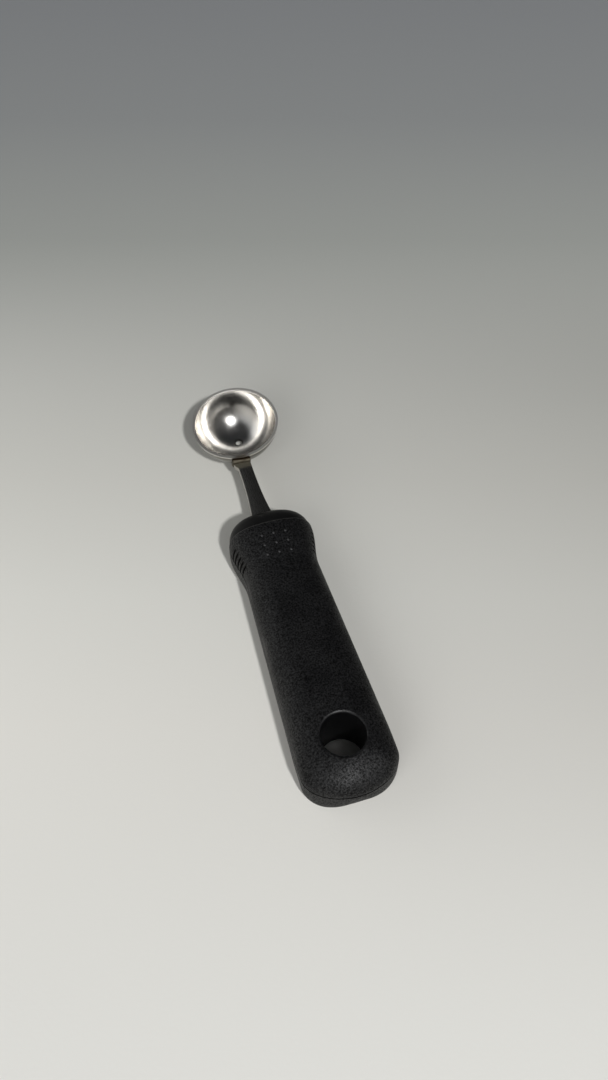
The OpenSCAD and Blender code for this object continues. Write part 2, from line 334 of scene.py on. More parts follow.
def cut_away(piece, cutter):
    """Takes a cutter's shape out of a piece, with the cutter's finish, and the cutter out of the scene."""
    use_modifier(
        piece, "BOOLEAN", operation="DIFFERENCE", object=cutter, solver="EXACT", material_mode="TRANSFER"
    )
    bpy.data.objects.remove(cutter)


def join(pieces):
    """Makes one piece of several, under the first one's name."""
    deselect()
    for piece in pieces:
        piece.select_set(True)
    bpy.context.view_layer.objects.active = pieces[0]
    bpy.ops.object.join()


def settle(piece, smooth_under):
    """Puts the piece's place into its mesh and shades it."""
    deselect()
    piece.select_set(True)
    bpy.context.view_layer.objects.active = piece
    bpy.ops.object.transform_apply(location=True, rotation=True, scale=True)
    bpy.ops.object.shade_smooth_by_angle(angle=math.radians(smooth_under))


def dress(piece, materials, node):
    """Gives the piece its finishes and its body, and hides the solid that it stands for."""
    for i, material in enumerate(materials):
        if i < len(piece.data.materials):
            piece.data.materials[i] = material
        else:
            piece.data.materials.append(material)
    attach(piece, "root")
    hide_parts(node)


def loft_handle(name, p, stations, inset):
    """Extrudes a squared ring along the handle's stations, closes its ends and cuts it flat below."""
    deselect()
    h = p.handle
    steps = 24
    shift = overall(p) / 2
    bpy.ops.mesh.primitive_circle_add(vertices=4 * steps, radius=1, rotation=(math.pi / 2, 0, 0))
    piece = named(name)
    bpy.ops.object.mode_set(mode="OBJECT")
    bpy.ops.object.transform_apply(location=True, rotation=True, scale=True)
    bpy.ops.object.mode_set(mode="EDIT")
    for i in range(1, steps):
        across, up = math.cos(math.pi / 2 * i / steps), math.sin(math.pi / 2 * i / steps)
        for way, power in ((1, h.section_power), (-1, h.under_power)):
            pick(piece, "VERT", lambda v: math.hypot(abs(v.co.x) - across, v.co.z * way - up) < 1e-4)
            grow = (across ** (2 / power - 1), 1, up ** (2 / power - 1))
            bpy.ops.transform.resize(value=grow, center_override=(0, 0, 0))
    at, size = 0, (1, 1, 1)
    for i, s in enumerate(stations):
        half, rise, drop = [v - inset for v in handle_size(h, s)]
        y = s - shift
        if i:
            extrude((0, y - at, 0))
        else:
            bpy.ops.mesh.select_all(action="SELECT")
            bpy.ops.transform.translate(value=(0, y, 0))
        at = y
        for way, old, new in ((1, size[1], rise), (-1, size[2], drop)):
            pick(piece, "VERT", lambda v: abs(v.co.y - at) < NEAR and v.co.z * way > 1e-9)
            bpy.ops.transform.resize(value=(1, 1, new / old), center_override=(0, at, 0))
        pick(piece, "VERT", lambda v: abs(v.co.y - at) < NEAR)
        bpy.ops.transform.resize(value=(half / size[0], 1, 1), center_override=(0, at, 0))
        size = (half, rise, drop)
    for end in (stations[0] - shift, stations[-1] - shift):
        pick(piece, "VERT", lambda v: abs(v.co.y - end) < NEAR)
        extrude((0, 0, 0))
        bpy.ops.mesh.merge(type="CENTER")
    bpy.ops.mesh.select_all(action="SELECT")
    bpy.ops.transform.translate(value=(0, 0, h.parting_h))
    bpy.ops.mesh.bisect(plane_co=(0, 0, 0), plane_no=(0, 0, 1), clear_inner=True, use_fill=True)
    face_outwards()
    return piece


# Finishes

def in_use(sockets, name=None):
    """The first socket in use, or the first one in use that has a name."""
    return next(s for s in sockets if s.enabled and name in (None, s.name))


def set_inputs(tree, node, inputs):
    """Sets or links inputs by place or name; a node as a value stands for its first output in use."""
    for key, value in inputs.items():
        socket = in_use(node.inputs, key) if isinstance(key, str) else node.inputs[key]
        if isinstance(value, bpy.types.Node):
            value = in_use(value.outputs)
        if isinstance(value, bpy.types.NodeSocket):
            tree.links.new(value, socket)
        else:
            socket.default_value = value


def add_node(tree, kind, inputs=(), stops=(), **settings):
    """Adds a node with its settings, its inputs and, on a ramp, its stops of (place, linear colour)."""
    node = tree.nodes.new("ShaderNode" + kind)
    for key, value in settings.items():
        setattr(node, key, value)
    set_inputs(tree, node, dict(inputs))
    for i, (place, value) in enumerate(stops):
        elements = node.color_ramp.elements
        element = elements[i] if i < len(elements) else elements.new(place)
        element.position, element.color = place, value
    return node


def new_material(name):
    """A material with its node tree, its shader and the piece's own coordinates."""
    material = bpy.data.materials.new(name)
    material.use_nodes = True
    tree = material.node_tree
    place = add_node(tree, "TexCoord").outputs["Object"]
    return material, tree, tree.nodes["Principled BSDF"], place


def per_mm(millimetres):
    """The texture scale at which a pattern repeats at a real size."""
    return 1 / (millimetres * MM)


def mottled(tree, shader, place, size, detail, colours, roughness):
    """Clouds of a size in millimetres that vary the colour and the roughness between two values each."""
    cloud = add_node(tree, "TexNoise", {"Vector": place, "Scale": per_mm(size), "Detail": detail})
    tint = add_node(tree, "Mix", {"Factor": cloud, "A": colours[0], "B": colours[1]}, data_type="RGBA")
    rough = add_node(tree, "MapRange", {
        "Value": cloud, "From Min": 0.3, "From Max": 0.7, "To Min": roughness[0], "To Max": roughness[1],
    })
    set_inputs(tree, shader, {"Base Color": tint, "Roughness": rough})


def polished_steel(p):
    """Deep-drawn 18/8 stainless steel, buffed to a mirror; it shows the room with soft edges."""
    material, tree, shader, place = new_material("Stainless_steel_mirror_buffed")
    inner_r, outer_r = scoop_radii(p)
    centre = scoop_centre(p)
    rim = p.scoop.depth - inner_r
    # The weld's heat leaves a straw stain beside it
    weld = Vector((-0.6 * MM, centre.y - outer_r * 0.93, p.handle.parting_h + 1.4 * MM))
    away = add_node(tree, "VectorMath", {0: place, 1: weld}, operation="DISTANCE")
    heat = add_node(tree, "MapRange", {
        "Value": away, "From Min": 2.2 * MM, "From Max": 4.6 * MM, "To Min": 0.75, "To Max": 0,
    }, **SMOOTH)
    stained = add_node(tree, "Mix", {
        "Factor": heat, "A": p.scoop.steel, "B": p.shank.tint,
    }, data_type="RGBA")
    # The outside under the rim is painted darker: a painted reflection of the shadowed floor under the cup
    out = add_node(tree, "VectorMath", {0: place, 1: centre}, operation="DISTANCE")
    outer = add_node(tree, "MapRange", {
        "Value": out, "From Min": inner_r + 0.4 * p.scoop.wall, "From Max": inner_r + 0.8 * p.scoop.wall,
    }, **SMOOTH)
    mouth = Matrix.Rotation(p.scoop.tilt, 3, "X") @ Vector((0, 0, 1))
    mouth = Matrix.Rotation(-p.scoop.lean, 3, "Y") @ mouth
    from_centre = add_node(tree, "VectorMath", {0: place, 1: centre}, operation="SUBTRACT")
    level = add_node(tree, "VectorMath", {0: from_centre, 1: mouth}, operation="DOT_PRODUCT")
    under = add_node(tree, "MapRange", {
        "Value": level, "From Min": rim - 1.1 * MM, "From Max": rim - 0.7 * MM, "To Min": 1, "To Max": 0,
    }, **SMOOTH)
    outside = add_node(tree, "Math", {0: outer, 1: under}, operation="MULTIPLY")
    drawn = add_node(tree, "Mix", {
        "Factor": outside, "A": stained, "B": linear("#7E7C77"),
    }, data_type="RGBA", blend_type="MULTIPLY")
    # Punching the vent leaves a rounded edge; a ring round it is painted darker, as painted shade on that
    # edge
    sideways = add_node(tree, "VectorMath", {0: from_centre, 1: mouth}, operation="CROSS_PRODUCT")
    radial = add_node(tree, "VectorMath", {0: sideways}, operation="LENGTH")
    vent_shade = add_node(tree, "MapRange", {
        "Value": radial, "From Min": vent_radius(p) + 0.25 * MM, "From Max": vent_radius(p) + 0.65 * MM,
        "To Min": 1, "To Max": 0,
    }, **SMOOTH)
    painted_edge_tone = add_node(tree, "Mix", {
        "Factor": vent_shade, "A": drawn, "B": linear("#5A5A5A"),
    }, data_type="RGBA", blend_type="MULTIPLY")
    # Buffing leaves faint clouds a few millimetres across
    cloud = add_node(tree, "TexNoise", {"Vector": place, "Scale": per_mm(5), "Detail": 4})
    buffed = add_node(tree, "MapRange", {
        "Value": cloud, "From Min": 0.3, "From Max": 0.7, "To Min": 0.16, "To Max": 0.23,
    })
    # The rim is ground flat and left satin, so it shows as a soft grey line
    ground = add_node(tree, "MapRange", {
        "Value": level, "From Min": rim - 0.5 * MM, "From Max": rim - 0.25 * MM,
    }, **SMOOTH)
    rough = add_node(tree, "Mix", {"Factor": ground, "A": buffed, "B": 0.5})
    # Drawing the sheet leaves a wave that bends what the cup reflects
    wave = add_node(tree, "TexNoise", {"Vector": place, "Scale": per_mm(3.2), "Detail": 1})
    bump = add_node(tree, "Bump", {"Height": wave, "Distance": 0.04 * MM})
    set_inputs(tree, shader, {"Base Color": painted_edge_tone, "Roughness": rough, "Normal": bump, "Metallic": 1})
    return material


def strap_steel(p):
    """Rolled stainless strap, satin finished along its length, with a straw tint by the weld."""
    material, tree, shader, place = new_material("Stainless_strap_satin_rolled")
    axes = add_node(tree, "SeparateXYZ", {"Vector": place}).outputs
    end = p.handle.length + p.shank.length - overall(p) / 2
    heat = add_node(tree, "MapRange", {
        "Value": axes["Y"], "From Min": end - 3.3 * MM, "From Max": end - 1.7 * MM,
    }, **SMOOTH)
    tint = add_node(tree, "Mix", {
        "Factor": heat, "A": p.shank.steel, "B": linear("#8A8678"),
    }, data_type="RGBA")
    # The strap's sides are painted brighter than its faces, a painted reflection of the lit floor beside
    # it; being sheared, they are also rougher
    face = p.handle.parting_h + p.shank.thickness / 2
    side = add_node(tree, "MapRange", {
        "Value": axes["Z"], "From Min": face - 0.3 * MM, "From Max": face - 0.12 * MM,
        "To Min": 1, "To Max": 0,
    }, **SMOOTH)
    sides_painted_bright = add_node(tree, "Mix", {"Factor": side, "A": tint, "B": linear("#B9B6B1")}, data_type="RGBA")
    # Grit lines run along the strap, drawn 0.12 mm apart so that they show
    drawn = add_node(tree, "Mapping", {"Vector": place, "Scale": (1, 0.03, 1)})
    grit = add_node(tree, "TexNoise", {"Vector": drawn, "Scale": per_mm(0.12), "Detail": 3})
    satin = add_node(tree, "MapRange", {
        "Value": grit, "From Min": 0.3, "From Max": 0.7, "To Min": 0.24, "To Max": 0.34,
    })
    # The heat leaves the strap's end matt
    matt = add_node(tree, "Mix", {"Factor": heat, "A": satin, "B": 0.58})
    rough = add_node(tree, "Mix", {"Factor": side, "A": matt, "B": 0.45})
    bump = add_node(tree, "Bump", {"Height": grit, "Distance": 0.004 * MM})
    set_inputs(tree, shader, {"Base Color": sides_painted_bright, "Roughness": rough, "Normal": bump, "Metallic": 1})
    return material


def weld_steel(p):
    """An unground weld: rippled steel that the heat left brown and straw, with hardly any shine."""
    material, tree, shader, place = new_material("Stainless_weld_heat_tinted")
    drawn = add_node(tree, "Mapping", {"Vector": place, "Scale": (0.25, 1, 1)})
    streak = add_node(tree, "TexNoise", {"Vector": drawn, "Scale": per_mm(0.9), "Detail": 4})
    straw = add_node(tree, "ValToRGB", {"Fac": streak}, stops=(
        (0.35, linear("#4C473C")), (0.5, linear("#666054")), (0.68, linear("#7A7566")),
    ))
    # The heat is greatest where the weld meets the cup
    outer_r = scoop_radii(p)[1]
    from_cup = add_node(tree, "VectorMath", {0: place, 1: scoop_centre(p)}, operation="DISTANCE")
    burnt = add_node(tree, "MapRange", {
        "Value": from_cup, "From Min": outer_r + 0.25 * MM, "From Max": outer_r + 0.75 * MM,
        "To Min": 1, "To Max": 0,
    }, **SMOOTH)
    tint = add_node(tree, "Mix", {"Factor": burnt, "A": straw, "B": linear("#2A2017")}, data_type="RGBA")
    bump = add_node(tree, "Bump", {"Height": streak, "Distance": 0.05 * MM, "Strength": 0.8})
    set_inputs(tree, shader, {"Base Color": tint, "Roughness": 0.72, "Normal": bump, "Metallic": 1})
    return material


def core_plastic(p):
    """Injection-moulded black polypropylene from a finely ground mould: smooth, with a soft wide sheen."""
    material, tree, shader, place = new_material("Polypropylene_gloss_moulded")
    mottled(tree, shader, place, 2.4, 3, (p.handle.plastic, linear("#121212")), (0.38, 0.48))
    fine = add_node(tree, "TexNoise", {"Vector": place, "Scale": per_mm(0.3), "Detail": 2})
    bump = add_node(tree, "Bump", {"Height": fine, "Distance": 0.006 * MM})
    set_inputs(tree, shader, {"Normal": bump, "IOR": 1.49, "Specular IOR Level": 0.12})
    return material


def grip_rubber(p):
    """Overmoulded thermoplastic rubber from a spark-eroded mould: a fine grain that breaks up its sheen."""
    material, tree, shader, place = new_material("Thermoplastic_rubber_eroded_grain")
    h = p.handle
    # The grain is about 0.3 mm on the real one, and is drawn at 0.55 mm so that it shows
    grain = add_node(tree, "TexNoise", {
        "Vector": place, "Scale": per_mm(0.55), "Detail": 3, "Roughness": 0.7,
    })
    patch = add_node(tree, "TexNoise", {"Vector": place, "Scale": per_mm(9), "Detail": 3})
    axes = add_node(tree, "SeparateXYZ", {"Vector": place}).outputs
    # The hang hole's lip and wall come from a polished pin, so they are smooth
    hole = Vector((0, h.hole_at - overall(p) / 2, 0))
    flat = add_node(tree, "VectorMath", {0: place, 1: (1, 1, 0)}, operation="MULTIPLY")
    away = add_node(tree, "VectorMath", {0: flat, 1: hole}, operation="DISTANCE")
    grained = add_node(tree, "MapRange", {
        "Value": away, "From Min": h.hole_d / 2 + 0.3 * h.lip_r, "From Max": h.hole_d / 2 + 1.2 * h.lip_r,
    }, **SMOOTH)
    # Under the parting plane handling has worn the grain a little, with an even sheen
    off = add_node(tree, "Math", {0: axes["Z"], 1: h.parting_h}, operation="SUBTRACT")
    worn = add_node(tree, "MapRange", {
        "Value": off, "From Min": -0.3 * MM, "From Max": -0.1 * MM, "To Min": 1, "To Max": 0,
    }, **SMOOTH)
    # The mould halves meet in a fine groove, which the hole's pin closes; its near-black colour over the
    # whole height is painted shade in the groove
    line = add_node(tree, "Math", {0: off, 1: 0.3 * MM}, operation="SUBTRACT")
    gap = add_node(tree, "Math", {0: line}, operation="ABSOLUTE")
    groove = add_node(tree, "MapRange", {
        "Value": gap, "From Min": 0.2 * MM, "From Max": 0.4 * MM,
    }, **SMOOTH)
    seam = add_node(tree, "Mix", {"Factor": grained, "A": 1, "B": groove})
    fade = add_node(tree, "MapRange", {"Value": worn, "To Min": 1, "To Max": 0.9})
    share = add_node(tree, "Math", {0: grained, 1: fade}, operation="MULTIPLY")
    height = add_node(tree, "Math", {0: grain, 1: share}, operation="MULTIPLY")
    tint = add_node(tree, "ValToRGB", {"Fac": grain}, stops=(
        (0.36, linear("#030303")), (0.5, h.rubber), (0.66, linear("#0A0A0C")),
    ))
    # The grip's front edge is painted grey: a painted highlight along the edge next to the nose
    front = h.length - h.nose_l - overall(p) / 2
    edge = add_node(tree, "MapRange", {
        "Value": axes["Y"], "From Min": front - 0.6 * MM, "From Max": front - 0.25 * MM,
    }, **SMOOTH)
    painted_edge_tone = add_node(tree, "Mix", {"Factor": edge, "A": tint, "B": linear("#363634")}, data_type="RGBA")
    shade = add_node(tree, "Mix", {"Factor": seam, "A": linear("#020202"), "B": painted_edge_tone}, data_type="RGBA")
    sunk = add_node(tree, "Math", {0: seam, 1: 1.5}, operation="MULTIPLY")
    total = add_node(tree, "Math", {0: height, 1: sunk}, operation="ADD")
    bump = add_node(tree, "Bump", {"Height": total, "Distance": 0.16 * MM})
    # Handling has left patches a little smoother than the rest
    dull = add_node(tree, "MapRange", {
        "Value": patch, "From Min": 0.35, "From Max": 0.65, "To Min": 0.48, "To Max": 0.66,
    })
    skin = add_node(tree, "Mix", {"Factor": worn, "A": dull, "B": 0.5})
    rough = add_node(tree, "Mix", {"Factor": grained, "A": 0.42, "B": skin})
    # The pits of the grain trap light and its peaks shine
    peaks = add_node(tree, "MapRange", {
        "Value": grain, "From Min": 0.38, "From Max": 0.64, "To Min": 0.08, "To Max": 0.6,
    })
    worn_shine = add_node(tree, "MapRange", {
        "Value": grain, "From Min": 0.4, "From Max": 0.62, "To Min": 0.04, "To Max": 0.5,
    })
    skin_shine = add_node(tree, "Mix", {"Factor": worn, "A": peaks, "B": worn_shine})
    shine = add_node(tree, "Mix", {"Factor": grained, "A": 0.5, "B": skin_shine})
    lit = add_node(tree, "Math", {0: shine, 1: seam}, operation="MULTIPLY")
    set_inputs(tree, shader, {
        "Base Color": shade, "Roughness": rough, "Specular IOR Level": lit, "Normal": bump, "IOR": 1.5,
    })
    return material


def groove_rubber_shaded(p):
    """The same rubber down in the side grooves, where it stays matt: painted a deeper black as the shade in
    the grooves.
    """
    material, tree, shader, place = new_material("Thermoplastic_rubber_grooves_painted_shade")
    mottled(tree, shader, place, 0.6, 2, (linear("#010101"), linear("#050504")), (0.7, 0.85))
    set_inputs(tree, shader, {"Specular IOR Level": 0.1, "IOR": 1.5})
    return material


def dot_rubber_highlit(p):
    """The same rubber where the mould is polished: the small dots, painted lighter than the grip as a
    painted highlight where they catch the lamp.
    """
    material, tree, shader, place = new_material("Thermoplastic_rubber_polished_dots_highlit")
    mottled(tree, shader, place, 0.8, 2, (linear("#1A1A1B"), linear("#2E2E2F")), (0.4, 0.5))
    set_inputs(tree, shader, {"IOR": 1.5})
    return material


def floor_card(p):
    """Matt white card, painted brighter in front of the tool and grey behind it: a painted fall-off of the
    lamp's light.
    """
    material, tree, shader, place = new_material("Card_matt_white")
    turned = add_node(tree, "Mapping", {
        "Vector": place, "Rotation": (0, 0, p.stage.turn), "Location": (-8 * MM, -20.7 * MM, 0),
    })
    axes = add_node(tree, "SeparateXYZ", {"Vector": turned}).outputs
    share = add_node(tree, "MapRange", {"Value": axes["Y"], "From Min": -180 * MM, "From Max": 480 * MM})
    tone = add_node(tree, "ValToRGB", {"Fac": share}, stops=(
        (0.02, p.stage.floor_near), (0.16, linear("#D9D7D1")), (0.235, linear("#D2D1CB")),
        (0.32, linear("#C4C3BD")), (0.42, linear("#B5B5B0")), (0.56, linear("#9D9F9B")),
        (0.74, linear("#8F9191")), (0.97, p.stage.floor_far),
    ))
    # Painted light from the window on the left lifts the card's colour there, most of all beside the tool
    across = add_node(tree, "MapRange", {
        "Value": axes["X"], "From Min": -150 * MM, "From Max": 150 * MM, "To Min": 0.13, "To Max": -0.18,
    })
    along = add_node(tree, "Math", {0: axes["Y"], 1: 10 * MM}, operation="SUBTRACT")
    far = add_node(tree, "Math", {0: along}, operation="ABSOLUTE")
    near = add_node(tree, "MapRange", {
        "Value": far, "From Min": 60 * MM, "From Max": 190 * MM, "To Min": 1, "To Max": 0,
    }, **SMOOTH)
    lift = add_node(tree, "Math", {0: across, 1: near, 2: 1}, operation="MULTIPLY_ADD")
    window_lit_tone = add_node(tree, "VectorMath", {0: tone, "Scale": lift}, operation="SCALE")
    fibre = add_node(tree, "TexNoise", {"Vector": place, "Scale": per_mm(1.2), "Detail": 5})
    bump = add_node(tree, "Bump", {"Height": fibre, "Distance": 0.03 * MM})
    set_inputs(tree, shader, {
        "Base Color": window_lit_tone, "Roughness": 0.85, "Specular IOR Level": 0.2, "Normal": bump,
    })
    return material


class Parts:
    """The four groups of settings, read together."""
    def __init__(self, context):
        scene = context.scene
        self.scoop, self.shank = scene.baller_scoop, scene.baller_shank
        self.handle, self.stage = scene.baller_handle, scene.baller_stage


# Pieces

class BALLER_OT_scoop(bpy.types.Operator):
    """Models the pressed steel cup with its ground rim and vent hole"""
    bl_idname = "baller.scoop"
    bl_label = "Scoop"

    def execute(self, context):
        p = Parts(context)
        inner_r, outer_r = scoop_radii(p)
        drop = inner_r - p.scoop.depth
        vent_r = vent_radius(p)
        deselect()
        bpy.ops.mesh.primitive_uv_sphere_add(segments=CUP_SIDES, ring_count=CUP_RINGS, radius=outer_r)
        cup = named("scoop_cup")
        # The pole and the ring of points next to it go, and two rings of faces with them
        pick(cup, "VERT", lambda v: v.co.z < 0 and radius_of(v) < 0.75 * vent_r)
        bpy.ops.mesh.delete(type="VERT")
        bpy.ops.mesh.select_all(action="SELECT")
        bpy.ops.mesh.bisect(plane_co=(0, 0, p.scoop.wall - drop), plane_no=(0, 0, 1), clear_outer=True)
        use_modifier(cup, "SOLIDIFY", thickness=p.scoop.wall, offset=-1, use_even_offset=True)
        # The rim is ground flat, and the two walls are joined there
        bpy.ops.object.mode_set(mode="EDIT")
        bpy.ops.mesh.select_all(action="SELECT")
        bpy.ops.mesh.bisect(plane_co=(0, 0, -drop), plane_no=(0, 0, 1), clear_outer=True)
        pick(cup, "EDGE", lambda e: e.is_boundary)
        bpy.ops.mesh.bridge_edge_loops()
        face_outwards()
        middle = math.sqrt((inner_r + p.scoop.wall / 2) ** 2 - drop ** 2)

        def on_rim(edge, outer):
            ends = edge.verts
            flat = all(abs(v.co.z + drop) < NEAR for v in ends)
            near = all((radius_of(v) > middle) == outer for v in ends)
            return flat and near

        pick(cup, "EDGE", lambda e: on_rim(e, True))
        bpy.ops.mesh.bevel(offset=p.scoop.rim_bevel, segments=4)
        pick(cup, "EDGE", lambda e: on_rim(e, False))
        bpy.ops.mesh.bevel(offset=p.scoop.lip, segments=3)

        def round_vent(edge):
            ends = edge.verts
            level = abs(ends[0].co.z - ends[1].co.z) < NEAR / 10
            return level and all(radius_of(v) < 1.03 * vent_r for v in ends) and not edge.is_boundary

        pick(cup, "EDGE", round_vent)
        bpy.ops.mesh.bevel(offset=p.scoop.vent_edge, segments=3)
        bpy.ops.object.mode_set(mode="OBJECT")
        cup.rotation_euler = (p.scoop.tilt, -p.scoop.lean, 0)
        cup.location = scoop_centre(p)
        settle(cup, 40)
        dress(cup, [polished_steel(p)], "scoop_bowl")
        return {"FINISHED"}


class BALLER_OT_shank(bpy.types.Operator):
    """Models the flat strap from the handle's nose to the scoop"""
    bl_idname = "baller.shank"
    bl_label = "Shank"

    def execute(self, context):
        p = Parts(context)
        h, k = p.handle, p.shank
        shift = overall(p) / 2
        tail, nose, end = h.length - k.tang_l, h.length, h.length + k.length
        flare_from = end - k.neck_back
        deselect()
        bpy.ops.mesh.primitive_cube_add(size=1)
        strap = named("shank_strap")
        bpy.ops.transform.resize(value=(k.root_w, end - tail, k.thickness))
        bpy.ops.transform.translate(value=(0, (end + tail) / 2 - shift, h.parting_h))
        stations = [mix(nose, flare_from, i / 16) for i in range(17)]
        stations += [mix(end - k.pad_l, end, i / 6) for i in range(6)]
        for s in stations:
            bpy.ops.mesh.select_all(action="SELECT")
            bpy.ops.mesh.bisect(plane_co=(0, s - shift, 0), plane_no=(0, 1, 0))
        for s in stations[1:] + [end]:
            y = s - shift
            pick(strap, "VERT", lambda v: abs(v.co.y - y) < NEAR)
            grow = (2 * strap_half_w(p, s) / k.root_w, 1, 1)
            bpy.ops.transform.resize(value=grow, center_override=(0, y, h.parting_h))
            bulge = k.pad_side * ease((s - end + k.pad_l) / k.pad_l)
            if bulge > 0:
                pick(strap, "VERT", lambda v: abs(v.co.y - y) < NEAR and v.co.x < 0)
                bpy.ops.transform.translate(value=(-bulge, 0, 0))
        # The end follows the cup's outer wall and runs a little way into it
        bite = 0.1 * MM
        for z in (h.parting_h + k.thickness / 2, h.parting_h - k.thickness / 2):
            pick(strap, "VERT", lambda v: abs(v.co.y - end + shift) < NEAR and abs(v.co.z - z) < NEAR)
            bpy.ops.transform.translate(value=(0, wall_y(p, z) + bite - end + shift, 0))

        def is_long_edge(edge):
            a, b = edge.verts
            faces = [f.normal for f in edge.link_faces]
            turned = len(faces) == 2 and faces[0].angle(faces[1]) > math.radians(60)
            return turned and abs(a.co.z - b.co.z) < NEAR and abs(a.co.y - b.co.y) > 0.1 * MM

        pick(strap, "EDGE", is_long_edge)
        bpy.ops.mesh.bevel(offset=k.edge_r, segments=3)
        settle(strap, 35)
        dress(strap, [strap_steel(p)], "shank")
        return {"FINISHED"}


class BALLER_OT_weld(bpy.types.Operator):
    """Models the weld round the strap's end, shaped to the cup and the strap"""
    bl_idname = "baller.weld"
    bl_label = "Weld"

    def execute(self, context):
        p = Parts(context)
        h, k = p.handle, p.shank
        low, high = -k.neck_w / 2 - k.pad_side - k.weld_over, k.neck_w / 2 + k.weld_over
        rolls = []
        for z in (h.parting_h + k.thickness / 2, h.parting_h - k.thickness / 2):
            deselect()
            bpy.ops.mesh.primitive_cylinder_add(
                vertices=48, radius=k.weld_r, depth=high - low, rotation=(0, math.pi / 2, 0),
                location=((low + high) / 2, wall_y(p, z), z),
            )
            roll = named("weld_roll")
            pick(roll, "EDGE", lambda e: abs(e.verts[0].co.z - e.verts[1].co.z) < NEAR)
            bpy.ops.mesh.bevel(offset=0.5 * MM, segments=4)
            bpy.ops.object.mode_set(mode="OBJECT")
            rolls.append(roll)
        join(rolls)
        weld = named("weld_fillet")
        bpy.ops.object.mode_set(mode="OBJECT")
        bpy.ops.object.transform_apply(location=True, rotation=True, scale=True)
        use_modifier(weld, "REMESH", mode="VOXEL", voxel_size=WELD_MESH)
        use_modifier(weld, "SMOOTH", factor=0.5, iterations=3)
        # Both cutters are a hair smaller than the cup and the strap, so that no gap shows
        outer_r, centre = scoop_radii(p)[1], scoop_centre(p)
        deselect()
        bpy.ops.mesh.primitive_uv_sphere_add(
            segments=CUP_SIDES, ring_count=96, radius=outer_r - 0.03 * MM, location=centre
        )
        cut_away(weld, bpy.context.object)
        deselect()
        inside = 0.05 * MM
        bpy.ops.mesh.primitive_cube_add(size=1)
        bar = named("strap_room")
        size = (k.neck_w + k.pad_side - 2 * inside, 12 * MM, k.thickness - 2 * inside)
        bpy.ops.transform.resize(value=size)
        bpy.ops.transform.translate(value=(-k.pad_side / 2, centre.y - outer_r, h.parting_h))
        bpy.ops.object.mode_set(mode="OBJECT")
        cut_away(weld, bar)
        settle(weld, 40)
        dress(weld, [weld_steel(p)], "weld_bead")
        return {"FINISHED"}


class BALLER_OT_core(bpy.types.Operator):
    """Models the smooth domed nose of the hard core"""
    bl_idname = "baller.core"
    bl_label = "Core nose"

    def execute(self, context):
        p = Parts(context)
        h = p.handle
        steps = 30
        stations = [h.length - h.nose_l - 1 * MM]
        turns = [math.pi / 2 * i / steps for i in range(steps, 0, -1)]
        stations += [h.length - h.nose_l * (1 - math.cos(turn)) for turn in turns]
        nose = loft_handle("core_nose", p, stations, h.nose_step)
        settle(nose, 50)
        dress(nose, [core_plastic(p)], "handle_core")
        return {"FINISHED"}


